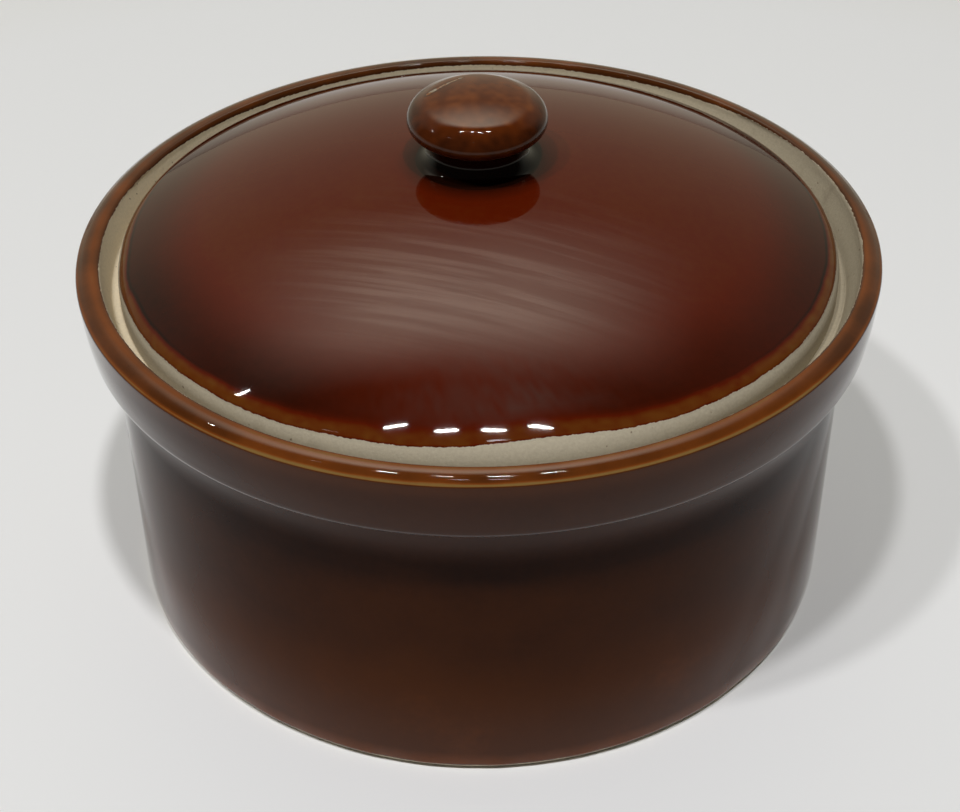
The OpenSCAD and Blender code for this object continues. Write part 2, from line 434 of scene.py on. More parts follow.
# Distances over which the glaze begins, and its thickness at each of its four shades
COVER = (-0.06 * MM, 0.1 * MM)
SHADE_AT = (0, 0.22, 0.5, 1)
# Numbers of the colour sockets of a mix node: both inputs and the result
MIX_FIRST, MIX_SECOND, MIX_RESULT = 6, 7, 2
# Height of the relief, and its strength
RELIEF, RELIEF_STRENGTH = 0.2 * MM, 0.6
# Streaks left by a cloth: their turn, and their length and width, alike at every height
STREAK_TURN = math.radians(-17)
STREAK_SIZE = (60 * MM, 2.8 * MM, 1)
# Oval that holds them: scale and shift that make it round, and where they are full and gone
STREAK_SCALE, STREAK_SHIFT = (20, 34, 0), (0.05, 1.4, 0)
STREAK_FADE = (0.5, 1.15, 1, 0)


def add(tree, kind, **inputs):
    """A node with its inputs set by name; spaces in the names are written as underscores."""
    made = tree.nodes.new(kind)
    for name, value in inputs.items():
        made.inputs[name.replace("_", " ")].default_value = value
    return made


def math_node(tree, operation, first, second):
    """A math node on two inputs, each a socket or a number."""
    made = tree.nodes.new("ShaderNodeMath")
    made.operation = operation
    for socket, value in zip(made.inputs, (first, second)):
        if isinstance(value, bpy.types.NodeSocket):
            tree.links.new(value, socket)
        else:
            socket.default_value = value
    return made.outputs[0]


def blend_colour(tree, factor, first, second):
    """Mixes two colours, each a socket or RGB, by a factor socket."""
    made = tree.nodes.new("ShaderNodeMix")
    made.data_type = "RGBA"
    tree.links.new(factor, made.inputs["Factor"])
    for number, value in ((MIX_FIRST, first), (MIX_SECOND, second)):
        socket = made.inputs[number]
        if isinstance(value, bpy.types.NodeSocket):
            tree.links.new(value, socket)
        else:
            socket.default_value = (*value, 1)
    return made.outputs[MIX_RESULT]


def remap(tree, value, low, high, to_low=0.0, to_high=1.0):
    """Maps a value from one span to another, held at the ends."""
    made = add(tree, "ShaderNodeMapRange", From_Min=low, From_Max=high, To_Min=to_low, To_Max=to_high)
    tree.links.new(value, made.inputs["Value"])
    return made.outputs["Result"]


def pattern(tree, vector, texture, span):
    """A noise texture of (scale, detail, roughness) at a vector, mapped from one span to another."""
    scale, detail, roughness = texture
    made = add(tree, "ShaderNodeTexNoise", Scale=scale, Detail=detail, Roughness=roughness)
    tree.links.new(vector, made.inputs["Vector"])
    return remap(tree, made.outputs["Fac"], *span)


def attribute(tree, name):
    """A number that is written on the points of the mesh."""
    made = tree.nodes.new("ShaderNodeAttribute")
    made.attribute_name = name
    return made.outputs["Fac"]


def ramp(tree, value, stops):
    """A colour ramp through stops of (position, RGB)."""
    made = tree.nodes.new("ShaderNodeValToRGB")
    elements = made.color_ramp.elements
    while len(elements) < len(stops):
        elements.new(1.0)
    for element, (position, rgb) in zip(elements, stops):
        element.position = position
        element.color = (*rgb, 1)
    tree.links.new(value, made.inputs["Fac"])
    return made.outputs["Color"]


def wiped_streaks(tree, place):
    """Streaks left by a cloth across the middle of the lid, from 0 to 1."""
    turned = add(tree, "ShaderNodeMapping", Rotation=(0, 0, STREAK_TURN), Scale=STREAK_SIZE)
    turned.vector_type = "TEXTURE"
    tree.links.new(place, turned.inputs["Vector"])
    streaks = pattern(tree, turned.outputs["Vector"], *STREAKS)
    patch = add(tree, "ShaderNodeMapping", Location=STREAK_SHIFT, Scale=STREAK_SCALE)
    tree.links.new(place, patch.inputs["Vector"])
    reach = tree.nodes.new("ShaderNodeVectorMath")
    reach.operation = "LENGTH"
    tree.links.new(patch.outputs["Vector"], reach.inputs[0])
    middle = remap(tree, reach.outputs["Value"], *STREAK_FADE)
    return math_node(tree, "MULTIPLY", streaks, middle)


def glaze_material(name, look, shades, bare, ior, wiped=False):
    """Glossy brown glaze in three shades from thin to even that pools to near black, over bare clay.

    The sheen on the points is the strength of a clear top layer, or on a wiped lid that of the film,
    whose hazy reflection is painted into the colour.
    """
    material = bpy.data.materials.new(name)
    material.use_nodes = True
    tree = material.node_tree
    tree.nodes.clear()
    shader = add(tree, "ShaderNodeBsdfPrincipled", IOR=ior, Coat_IOR=look.top_ior,
                 Coat_Roughness=look.gloss_rough)
    output = tree.nodes.new("ShaderNodeOutputMaterial")
    tree.links.new(shader.outputs["BSDF"], output.inputs["Surface"])
    place = tree.nodes.new("ShaderNodeTexCoord").outputs["Object"]

    # Ragged end of the glaze
    fray = pattern(tree, place, *FRAY)
    edge = math_node(tree, "ADD", attribute(tree, "glaze_edge"), fray)
    cover = remap(tree, edge, *COVER)

    # Glaze colour from its thickness, with cloudy and fine mottling
    clouds = pattern(tree, place, *CLOUDS)
    flecks = pattern(tree, place, *FLECKS)
    written = attribute(tree, "glaze_depth_and_painted_light")
    depth = math_node(tree, "ADD", written, math_node(tree, "ADD", clouds, flecks))
    glaze = ramp(tree, depth, tuple(zip(SHADE_AT, (*shades, look.pooled))))

    # Bare clay with a fine grain, soft stains and a few iron specks; the written depth is light and
    # shade painted on it
    grain = pattern(tree, place, *GRAIN)
    grain = math_node(tree, "MULTIPLY", grain, remap(tree, written, *CLAY_PAINTED_LIGHT))
    tint = tree.nodes.new("ShaderNodeVectorMath")
    tint.operation = "SCALE"
    tint.inputs[0].default_value = bare
    tree.links.new(grain, tint.inputs["Scale"])
    stains = pattern(tree, place, *STAINS)
    specks = pattern(tree, place, *SPECKS)
    clay = blend_colour(tree, math_node(tree, "MAXIMUM", stains, specks), tint.outputs["Vector"],
                        look.clay_stain)

    # Clear top layer, on glaze only: the sheen, or the smears of a wiped lid, which also has a film with
    # painted haze
    sheen = attribute(tree, "sheen")
    if wiped:
        streaks = wiped_streaks(tree, place)
        # Painted haze: the film's grey is mixed into the glaze colour by the sheen
        glaze = blend_colour(tree, sheen, glaze, look.film_and_painted_haze)
        sheen = math_node(tree, "MULTIPLY", streaks, look.smear_gloss)
    tree.links.new(math_node(tree, "MULTIPLY", cover, sheen), shader.inputs["Coat Weight"])
    tree.links.new(blend_colour(tree, cover, clay, glaze), shader.inputs["Base Color"])

    # Gloss: clean glaze, faintly uneven, with wiped streaks on the lid
    gloss = math_node(tree, "MULTIPLY", pattern(tree, place, *UNEVEN), look.gloss_rough)
    if wiped:
        gloss = math_node(tree, "ADD", gloss, math_node(tree, "MULTIPLY", streaks, look.smear_rough))
    rough = add(tree, "ShaderNodeMix", A=look.clay_rough)
    tree.links.new(cover, rough.inputs["Factor"])
    tree.links.new(gloss, rough.inputs["B"])
    tree.links.new(rough.outputs["Result"], shader.inputs["Roughness"])

    # Relief: a faint ripple in the glaze and a gritty clay
    ripple = pattern(tree, place, *RIPPLE)
    grit = pattern(tree, place, *GRIT)
    relief = add(tree, "ShaderNodeMix")
    tree.links.new(cover, relief.inputs["Factor"])
    tree.links.new(grit, relief.inputs["A"])
    tree.links.new(ripple, relief.inputs["B"])
    bump = add(tree, "ShaderNodeBump", Strength=RELIEF_STRENGTH, Distance=RELIEF)
    tree.links.new(relief.outputs["Result"], bump.inputs["Height"])
    tree.links.new(bump.outputs["Normal"], shader.inputs["Normal"])
    return material


# The bowl is shaped by hand: the inner edge of its lip is a little wide and off centre
MOUTH_SHIFT = Vector((0.5, -0.5, 0)) * MM
MOUTH_SWELL = 0.4 * MM
# Distances from that edge at which this starts and is full
MOUTH_EDGE = (2.5 * MM, 0.5 * MM)
# Longest steps along the bowl's outline: flat floor, lip, foot, collar and the wall between
FLOOR_STEP, LIP_STEP, FOOT_STEP, COLLAR_STEP, WALL_STEP = 6 * MM, 0.4 * MM, 0.7 * MM, MM, 4 * MM
# Heights of the strips under the lip's edge, over the foot and under the collar with those steps
LIP_STRIP, FOOT_STRIP, COLLAR_STRIP = 2 * MM, 3 * MM, 8 * MM
# Bare clay: its height on the foot, its end past the lip's crown round the turn, in millimetres,
# how ragged that end is, and the light and shade painted on it round the turn: paler at the left, darker
# at the right
FOOT_CLAY = 1.6 * MM
BOWL_WIPE = (-0.1, (1.8, 126, 38), (1.6, 62, 30))
BOWL_RAGGED = (0.25, 160, 3)
BOWL_CLAY_PAINTED_LIGHT = (0.5, (0.42, 180, 50), (-0.38, 0, 50))
# Thickness of the glaze: on the lip and how much less at its front, on the body, and how much more
# on the collar; and the painted shade on the upper body under the collar, which starts and is full
# at two distances from the foot
LIP_DEPTH, LIP_THIN = 0.53, 0.13
BODY_DEPTH, COLLAR_MORE, UPPER_PAINTED_SHADE = 0.5, 0.2, 0.22
UPPER_FROM, UPPER_TO = 20 * MM, 45 * MM
# Clouds in that thickness, and the front round the turn: its centre and spread in degrees
BOWL_CLOUDS = (0.05, 30, 8), (0.04, 110, 9)
BOWL_FRONT = (270, 75)
# Glaze that gathers at its own end: added thickness on the lip and on the lid, and its spread
LIP_GATHER, LID_GATHER, GATHER_W = 0.2, 0.3, 0.3 * MM
# Top layer: strength on the lip and the collar round the turn, and at the foot and under the
# collar, with the heights over which it fades there
LIP_SHEEN = (1, (-0.5, 180, 30), (-0.3, 0, 30))
COLLAR_SHEEN = (0.75, (0.25, 213, 14), (-0.7, 183, 18), (-0.3, 330, 30))
FOOT_SHEEN, FOOT_SHEEN_H = 0.7, 30 * MM
CREASE_SHEEN, CREASE_SHEEN_H = 0.8, 12 * MM


class COVERED_BOWL_OT_bowl(bpy.types.Operator):
    """Turn the bowl: foot ring, body, collar, lip, ledge and cavity"""
    bl_idname = "covered_bowl.bowl"
    bl_label = "Bowl"

    def execute(self, context):
        size, look = context.scene.covered_bowl.bowl, context.scene.covered_bowl.look
        foot_in_r = size.foot_r - size.foot_w
        lip_edge_z = size.height - size.lip_fall
        lip_r = size.rim_r - size.lip_w
        seat_r, seat_z = lip_r - size.seat_lean, size.height - size.seat_depth
        ledge_r, ledge_z = seat_r - size.ledge_w, seat_z - size.ledge_t
        crease_z = size.collar_z - size.crease_drop
        tuck_r, tuck_z = size.collar_r + size.collar_tuck, size.collar_z + size.collar_tuck_h
        corners = (
            (0, size.foot_recess, 0),
            (foot_in_r - size.foot_slope_w, size.foot_recess, size.foot_inner_round),
            (foot_in_r, 0, size.foot_inner_round),
            (size.foot_r, 0, size.foot_round),
            (size.body_r, crease_z - size.flare_h, size.flare_round),
            (size.body_r + size.flare_out, crease_z, size.crease_fillet),
            (size.collar_r, size.collar_z, size.collar_round),
            (tuck_r, tuck_z, size.collar_tuck_round),
            (size.rim_r, lip_edge_z, size.lip_edge_round),
            (size.rim_r - size.lip_slope_w, size.height, size.lip_roll),
            (lip_r, size.height, size.lip_round),
            (seat_r, seat_z, size.seat_fillet),
            (ledge_r, seat_z, size.ledge_round),
            (ledge_r, ledge_z, size.ledge_round),
            (size.body_r - size.wall_t, ledge_z - size.ledge_slope_h, size.ledge_slope_h),
            (size.foot_r - size.wall_t, size.floor_z, size.floor_fillet),
            (0, size.floor_z, 0),
        )
        bm = start_outline()
        rounded_chain(bm, corners, lip_edge_z)

        def step_at(radius, height):
            if radius < foot_in_r - 2 * size.foot_slope_w and height < 2 * size.floor_z:
                return FLOOR_STEP
            if height > lip_edge_z - LIP_STRIP:
                return LIP_STEP
            if height < FOOT_STRIP:
                return FOOT_STEP
            return COLLAR_STEP if height > crease_z - COLLAR_STRIP else WALL_STEP

        refine(bm, step_at)
        chain = measure(bm, size.foot_recess)
        foot_from = along_at(chain, foot_in_r, 0)
        foot_to = along_at(chain, size.foot_r, FOOT_CLAY)
        crown = along_at(chain, lip_r, size.height)
        lip_edge = along_at(chain, size.rim_r, lip_edge_z)
        collar_edge = along_at(chain, size.collar_r, size.collar_z)
        crease = along_at(chain, size.body_r + size.flare_out, crease_z)
        ledge = along_at(chain, ledge_r, ledge_z)
        turn_outline(bm)

        def edge_at(vert, angle, place):
            ragged = MM * mottle(vert, BOWL_RAGGED)
            wiped_to = crown + MM * round_turn(angle, *BOWL_WIPE)
            return min(outside(place, foot_from, foot_to + ragged),
                       outside(place, wiped_to + ragged, ledge + ragged))

        # Bands of thin or pooled glaze and painted shade: depth all round, depth added at the front,
        # place, spread
        bands = (
            (-0.14, -0.1, crown - 1.9 * MM, 1.2 * MM),
            (0, -0.5, lip_edge + 0.4 * MM, 0.38 * MM),
            (0, -0.2, lip_edge - 1.2 * MM, 1.8 * MM),
            (0.25, 0, crease, 1.5 * MM),
            # Painted shade: a dark band on the upper body under the collar
            (0.18, 0, crease - 14 * MM, 6 * MM),
            (-0.3, 0, foot_to, 1.2 * MM),
        )

        def depth_and_painted_light_at(vert, angle, place, edge):
            # On bare clay: painted light, paler at the left and darker at the right
            if edge < 0:
                return round_turn(angle, *BOWL_CLAY_PAINTED_LIGHT)
            clouds = mottle(vert, *BOWL_CLOUDS)
            front = hump(angle, *BOWL_FRONT)
            if place > lip_edge:
                depth = LIP_DEPTH - LIP_THIN * front + 2 * clouds + LIP_GATHER * bell(edge, GATHER_W)
            else:
                depth = BODY_DEPTH + COLLAR_MORE * smooth(place, crease, collar_edge)
            # Painted shade: the upper body darker under the collar
            if place < crease:
                depth += UPPER_PAINTED_SHADE * smooth(place, foot_to + UPPER_FROM, foot_to + UPPER_TO)
            return depth + banded(place, front, bands) + clouds

        def sheen_at(vert, angle, place, edge):
            if place > lip_edge:
                return round_turn(angle, *LIP_SHEEN)
            if place > crease:
                return round_turn(angle, *COLLAR_SHEEN)
            return (FOOT_SHEEN * smooth(place, foot_to + FOOT_SHEEN_H, foot_to)
                    + CREASE_SHEEN * smooth(place, crease - CREASE_SHEEN_H, crease))

        coat(bm, edge_at, depth_and_painted_light_at, sheen_at, look.clay_inset)
        for vert in bm.verts:
            outward = Vector((vert.co.x, vert.co.y, 0))
            upper = smooth(vert.co.z, seat_z + MM, lip_edge_z)
            inner = upper * smooth(outward.length - lip_r, *MOUTH_EDGE)
            vert.co.z += upper * (size.rim_roll * vert.co.x - size.rim_tilt * vert.co.y) / size.rim_r
            vert.co += inner * (MOUTH_SHIFT + MOUTH_SWELL * outward.normalized())
        bm.normal_update()
        shades = look.amber, look.orange, look.brown
        # The bowl's paler clay is painted light
        material = glaze_material("bowl_glaze", look, shades, look.bowl_clay_painted_light, look.bowl_ior)
        piece = finish_piece(bm, "bowl_pot", "bowl", "bowl", material)
        return {"FINISHED"}


# Width of the lid's edge that is drawn finely
FINE_EDGE = 9 * MM
# Height over the seat from which the side has fine steps, and height over the ring's inner rounding
# at which its bare clay ends
SIDE_FROM, RING_CLAY = 2 * MM, 1.5 * MM
# End of the glaze past the top of the side round the turn, in millimetres, and how ragged it is
LID_WIPE = (-3.8, (-1.1, 255, 14), (-3.2, 280, 14), (-0.8, 305, 14), (0.7, 207, 14), (1, 194.5, 5))
LID_RAGGED = (0.22, 140, 5), (0.12, 420, 6)
# Light and shade painted on the bare clay, none at this middle value, and thickness of the glaze with
# its clouds
LID_CLAY_PAINTED_LIGHT, LID_DEPTH = 0.5, 0.49
LID_CLOUDS = (0.03, 24, 12)
# Back round the turn, where the strip of thin glaze ends: its centre and spread in degrees
LID_BACK = (90, 55)
# Strip of thin glaze along the edge: its width, the fade beside it, both in millimetres, its
# thickness, and the dark line beside it with the line's distance and spread
STRIP_W = (2.2, (1.8, 270, 70))
STRIP_FADE = (0.4, (1.6, 270, 70))
STRIP_DEPTH = (-0.35, (0.2, 270, 70))
STRIP_MOTTLE = (0.12, 260, 14), (0.1, 700, 15)
STRIP_LINE = (0.4, (-0.4, 270, 70))
STRIP_LINE_AT, STRIP_LINE_W = 0.6 * MM, 0.35 * MM
# Thicker glaze inside that strip: how much round the turn, and where it starts and is full
LID_POOL = (0.3, (0.12, 203, 16), (-0.24, 270, 22), (0.15, 237, 16), (0.1, 293, 10))
LID_POOL_EDGE = (26 * MM, 6 * MM)
# Thicker glaze round the knob's foot, and its spread
FOOT_POOL, FOOT_POOL_W = 0.4, 3 * MM
# Film at the front with painted haze: strength and mottling, place round the turn, and distances
# from the glaze's end at which it starts and is full, on its outer and its inner side
FILM_AND_PAINTED_HAZE = 0.35
FILM_HAZE_MOTTLE = (0.12, 180, 31), (0.3, 620, 32)
FILM_HAZE_AT = (273, 14)
FILM_HAZE_OUTER, FILM_HAZE_INNER = (4 * MM, 8 * MM), (32 * MM, 8 * MM)


class COVERED_BOWL_OT_lid(bpy.types.Operator):
    """Turn the lid: a domed shell on a flat ring"""
    bl_idname = "covered_bowl.lid"
    bl_label = "Lid"

    def execute(self, context):
        settings = context.scene.covered_bowl
        size, knob, look = settings.lid, settings.knob, settings.look
        dome_r, dome_z = lid_dome(size)
        side_z = size.seat_z + size.side_h
        knob_foot_r = knob.radius - knob.overhang + knob.flare
        inner_r, inner_dome_r = size.radius - size.ring_w, dome_r - size.thickness
        edge_r = size.radius - size.edge_round
        lift, meet = dome_lift(size.radius, size.edge_round, dome_r)
        inner_lift, inner_meet = dome_lift(inner_r, size.fillet, inner_dome_r)
        ring_z = size.seat_z + size.ring_round
        quarter = math.pi / 2

        bm = start_outline()
        start = point(bm, 0, knob.foot_z)
        end = point(bm, knob_foot_r, dome_z + math.sqrt(dome_r ** 2 - knob_foot_r ** 2), start)
        fine = math.acos((size.radius - FINE_EDGE) / dome_r)
        end = arc(bm, end, 0, dome_z, fine - math.acos(knob_foot_r / dome_r))
        end = arc(bm, end, 0, dome_z, meet - fine, FINE_LENGTH)
        end = arc(bm, end, edge_r, dome_z + lift, -meet, FINE_LENGTH)
        end = point(bm, size.radius, ring_z, end)
        end = arc(bm, end, size.radius - size.ring_round, ring_z, -quarter)
        end = point(bm, inner_r + size.ring_round, size.seat_z, end)
        end = arc(bm, end, inner_r + size.ring_round, ring_z, -quarter)
        end = point(bm, inner_r, dome_z + inner_lift, end)
        end = arc(bm, end, inner_r - size.fillet, dome_z + inner_lift, inner_meet)
        arc(bm, end, 0, dome_z, quarter - inner_meet)

        def step_at(radius, height):
            near_edge = radius > size.radius - FINE_EDGE and height > size.seat_z + SIDE_FROM
            return FINE_LENGTH if near_edge else ARC_LENGTH

        refine(bm, step_at)
        chain = measure(bm, knob.foot_z)
        side_top = along_at(chain, size.radius, side_z)
        foot_edge = along_at(chain, knob_foot_r, knob.foot_z)
        ring_in = along_at(chain, inner_r, ring_z + RING_CLAY)
        turn_outline(bm)

        def edge_at(vert, angle, place):
            ragged = MM * mottle(vert, *LID_RAGGED)
            wiped_to = side_top + MM * round_turn(angle, *LID_WIPE)
            return outside(place, wiped_to + ragged, ring_in + ragged)

        def depth_and_painted_light_at(vert, angle, place, edge):
            if edge < 0:
                return LID_CLAY_PAINTED_LIGHT
            depth = LID_DEPTH + mottle(vert, LID_CLOUDS)
            if place < side_top:
                strip, fade = MM * round_turn(angle, *STRIP_W), MM * round_turn(angle, *STRIP_FADE)
                thin = smooth(edge, strip + fade, strip - fade) * (1 - hump(angle, *LID_BACK))
                line = bell(edge - strip - STRIP_LINE_AT, STRIP_LINE_W)
                depth += round_turn(angle, *LID_POOL) * smooth(edge, *LID_POOL_EDGE) * (1 - thin)
                depth += (mottle(vert, *STRIP_MOTTLE) + round_turn(angle, *STRIP_DEPTH)) * thin
                depth += round_turn(angle, *STRIP_LINE) * line + LID_GATHER * bell(edge, GATHER_W)
            return depth + FOOT_POOL * bell(place - foot_edge, FOOT_POOL_W)

        def sheen_at(vert, angle, place, edge):
            # Film on the lid's front, its hazy reflection painted into the colour
            across = smooth(edge, *FILM_HAZE_OUTER) * smooth(edge, *FILM_HAZE_INNER)
            return (FILM_AND_PAINTED_HAZE + mottle(vert, *FILM_HAZE_MOTTLE)) * hump(angle, *FILM_HAZE_AT) * across

        coat(bm, edge_at, depth_and_painted_light_at, sheen_at, look.clay_inset)
        shades = look.olive, look.tan, look.red_brown
        material = glaze_material("lid_glaze", look, shades, look.clay, look.lid_ior, wiped=True)
        piece = finish_piece(bm, "lid_dome", "lid", "lid", material)
        return {"FINISHED"}


# Scar on top of the knob where the glaze is thin and broken, from its wide end to its point
SCAR = Vector((-12.4, 3.2)) * MM, Vector((-3.6, 10.4)) * MM
# Its half width, the share of that lost towards the point, and the distance to the end of the
# glaze inside it
SCAR_HALF, SCAR_TAPER, SCAR_EDGE = 0.5 * MM, 0.7, 0.02 * MM
# Share of the cap's thickness, from the top, that can carry the scar
SCAR_SHARE = 0.4
# Glaze round the scar: thickness added, none more at the front, distance from the scar, spread
SCAR_BANDS = (0.4, 0, 0.3 * MM, 0.2 * MM), (-0.4, 0, 0, 0.1 * MM)
# Thickness of the glaze on the cap, how much less on the crown, and how far from the cap's edge
# that starts and is full
CAP_DEPTH, CROWN_LESS = 0.76, 0.31
CROWN_FROM, CROWN_TO = 3 * MM, 8 * MM
KNOB_CLOUDS = (0.13, 130, 21), (0.13, 480, 22)
# Darker neck and flare under the cap, partly pooled glaze and partly painted shade, and the distances
# from its top at which it starts and is full
NECK_POOL_AND_SHADE, NECK_FROM, NECK_TO = 0.5, 2 * MM, -MM
# Strength of the top layer on the cap
CAP_SHEEN = 0.4


class COVERED_BOWL_OT_knob(bpy.types.Operator):
    """Turn the knob: a flared foot, a neck and a rounded cap"""
    bl_idname = "covered_bowl.knob"
    bl_label = "Knob"

    def execute(self, context):
        settings = context.scene.covered_bowl
        size, look = settings.knob, settings.look
        neck_r = size.radius - size.overhang
        foot_r = neck_r + size.flare
        under_z = size.top_z - size.cap_t
        side_z = under_z + size.under_round
        fillet = min(size.neck_fillet, size.overhang - size.under_round)
        # The flare runs tangent into the lid's dome
        dome_r, dome_z = lid_dome(settings.lid)
        lean = math.asin(foot_r / dome_r)
        flare_r = dome_r * size.flare / (dome_r - foot_r)
        flare_z = dome_z + (dome_r + flare_r) * math.cos(lean)
        # The shoulder is as wide as lets the crown end level on the axis at the knob's top
        slope, crown = size.shoulder_slope, size.crown_slope
        reach = (size.radius - size.top_round * (1 - math.sin(slope))
                 - size.shoulder_round * (math.sin(slope) - math.sin(crown)))
        rise = (size.top_z - side_z - size.top_round * math.cos(slope)
                - size.shoulder_round * (math.cos(crown) - math.cos(slope)))
        shoulder_w = (rise - reach * math.tan(crown / 2)) / (math.tan(slope) - math.tan(crown / 2))
        crown_r = (reach - shoulder_w) / math.sin(crown)
        quarter = math.pi / 2

        bm = start_outline()
        start = point(bm, 0, size.foot_z)
        end = point(bm, foot_r, dome_z + dome_r * math.cos(lean), start)
        end = arc(bm, end, neck_r + flare_r, flare_z, lean - quarter)
        end = point(bm, neck_r, under_z - fillet, end)
        end = arc(bm, end, neck_r + fillet, under_z - fillet, -quarter)
        end = point(bm, size.radius - size.under_round, under_z, end)
        end = arc(bm, end, size.radius - size.under_round, side_z, quarter)
        end = arc(bm, end, size.radius - size.top_round, side_z, quarter - slope)
        end = point(bm, end.co.x - shoulder_w, end.co.z + shoulder_w * math.tan(slope), end)
        end = arc(bm, end, end.co.x - size.shoulder_round * math.sin(slope),
                  end.co.z - size.shoulder_round * math.cos(slope), slope - crown, FINE_LENGTH)
        arc(bm, end, 0, size.top_z - crown_r, crown, FINE_LENGTH)
        refine(bm, lambda radius, height: 2 * FINE_LENGTH)
        chain = measure(bm, size.foot_z)
        neck_top = along_at(chain, neck_r + fillet, under_z)
        cap_edge = along_at(chain, size.radius, side_z)
        turn_outline(bm)

        def edge_at(vert, angle, place):
            if vert.co.z < size.top_z - SCAR_SHARE * size.cap_t:
                return size.radius
            flat = Vector((vert.co.x, vert.co.y))
            part = min(max(intersect_point_line(flat, *SCAR)[1], 0), 1)
            apart = (flat - SCAR[0].lerp(SCAR[1], part)).length
            return max(apart - SCAR_HALF * (1 - SCAR_TAPER * part), SCAR_EDGE)

        def depth_and_painted_light_at(vert, angle, place, edge):
            depth = CAP_DEPTH + mottle(vert, *KNOB_CLOUDS) + banded(edge, 0, SCAR_BANDS)
            depth -= CROWN_LESS * smooth(place, cap_edge + CROWN_FROM, cap_edge + CROWN_TO)
            # Neck and flare under the cap: pooled glaze with painted shade
            return depth + NECK_POOL_AND_SHADE * smooth(place, neck_top + NECK_FROM, neck_top + NECK_TO)

        def sheen_at(vert, angle, place, edge):
            return CAP_SHEEN * smooth(place, neck_top, cap_edge)

        coat(bm, edge_at, depth_and_painted_light_at, sheen_at, look.clay_inset)
        # The cap leans about the top of the neck, and keeps its height
        pivot = Vector((0, 0, under_z))
        drop = (crown_r - size.cap_t) * (1 - math.cos(size.cap_lean))
        for vert in bm.verts:
            part = smooth(vert.co.z, flare_z - flare_r, under_z)
            vert.co = pivot + Matrix.Rotation(part * size.cap_lean, 3, "X") @ (vert.co - pivot)
            vert.co.z -= part * drop
        bm.normal_update()
        shades = look.amber, look.orange, look.warm_brown
        material = glaze_material("knob_glaze", look, shades, look.clay, look.lid_ior)
        piece = finish_piece(bm, "knob_turned", "lid_knob", "lid", material)
        return {"FINISHED"}


# Studio

# Lamps that light the scene: name, place and watts, and the width and depth of each
KEY_LAMPS = (
    ("key_right", (0.37, -1.03, 3.5), 54),
    ("key_left", (-0.77, -1.0, 3.45), 36),
    ("key_far_left", (-1.5, -1.01, 3.45), 34),
)
KEY_SIZE = (0.22, 0.22)
# X and Y of small ceiling lamps that only show in the glaze, as bright and as faint marks on it,
# and their height, size and watts
MARK_LAMPS = ((-0.3, 0.0), (-0.117, -0.037), (0.05, -0.042), (0.212, -0.021), (-0.955, 0.354))
FAINT_LAMPS = ((-0.605, -0.094), (0.068, -0.085), (-0.096, -0.434), (0.06, -0.434))
MARK_Z = 1.42
MARK_SIZE = (0.085, 0.006)
MARK_WATTS, FAINT_WATTS = 1.2, 0.06
# Soft bright patch of the ceiling behind the bowl, by the X and Y of a direction:
# each pair holds where it is gone and where it is full
PATCH_LEFT, PATCH_RIGHT = (-0.6, -0.14), (0.52, 0.04)
PATCH_NEAR, PATCH_FAR = (0.17, 0.4), (0.76, 0.36)
PATCH_RGB = (5.1, 5.0, 4.1)
# Shares of the room light and of the patch that light the scene; the glaze shows all of them
ROOM_SPILL, PATCH_SPILL = 0.5, 0.03
# Room light from the front to the back, by the Y of a direction
ROOM_STOPS = ((0.2, (0.06, 0.06, 0.05)), (0.5, (0.46, 0.46, 0.38)), (0.8, (0.61, 0.57, 0.43)))
# Room light from the left to the right: two X of a direction and the strength at each
ROOM_SIDES = (-0.6, 0.6, 0.94, 0.74)
# Room behind the floor as the camera sees it
ROOM_RGB = (0.62, 0.6, 0.55)
# Place that the key lamps are aimed at, and the floor's half size and roughness
AIM = Vector((0, 0, 0.08))
FLOOR_HALF, FLOOR_ROUGH = 3.0, 0.6
# Width of the camera's sensor in millimetres, and the nearest distance that it sees
SENSOR, NEAREST = 36, 0.01


def lamp(name, place, size, watts, shows):
    """An oval lamp: it faces down and shows in the glaze, or is aimed at the bowl and lights it."""
    data = bpy.data.lights.new(name, "AREA")
    data.shape = "ELLIPSE"
    data.size, data.size_y = size
    data.energy = watts
    made = bpy.data.objects.new(name, data)
    made.location = place
    if not shows:
        made.rotation_euler = (AIM - Vector(place)).to_track_quat("-Z", "Y").to_euler()
    made.visible_glossy = shows
    made.visible_diffuse = not shows
    bpy.context.scene.collection.objects.link(made)


def floor_material(studio):
    """Matt floor, pale round the bowl and darker well away from it."""
    material = bpy.data.materials.new("floor_matt")
    material.use_nodes = True
    tree = material.node_tree
    shader = tree.nodes["Principled BSDF"]
    shader.inputs["Roughness"].default_value = FLOOR_ROUGH
    away = tree.nodes.new("ShaderNodeVectorMath")
    away.operation = "LENGTH"
    tree.links.new(tree.nodes.new("ShaderNodeTexCoord").outputs["Object"], away.inputs[0])
    fade = remap(tree, away.outputs["Value"], studio.fade_from, studio.fade_to)
    tree.links.new(blend_colour(tree, fade, studio.floor, studio.far_floor), shader.inputs["Base Color"])
    return material


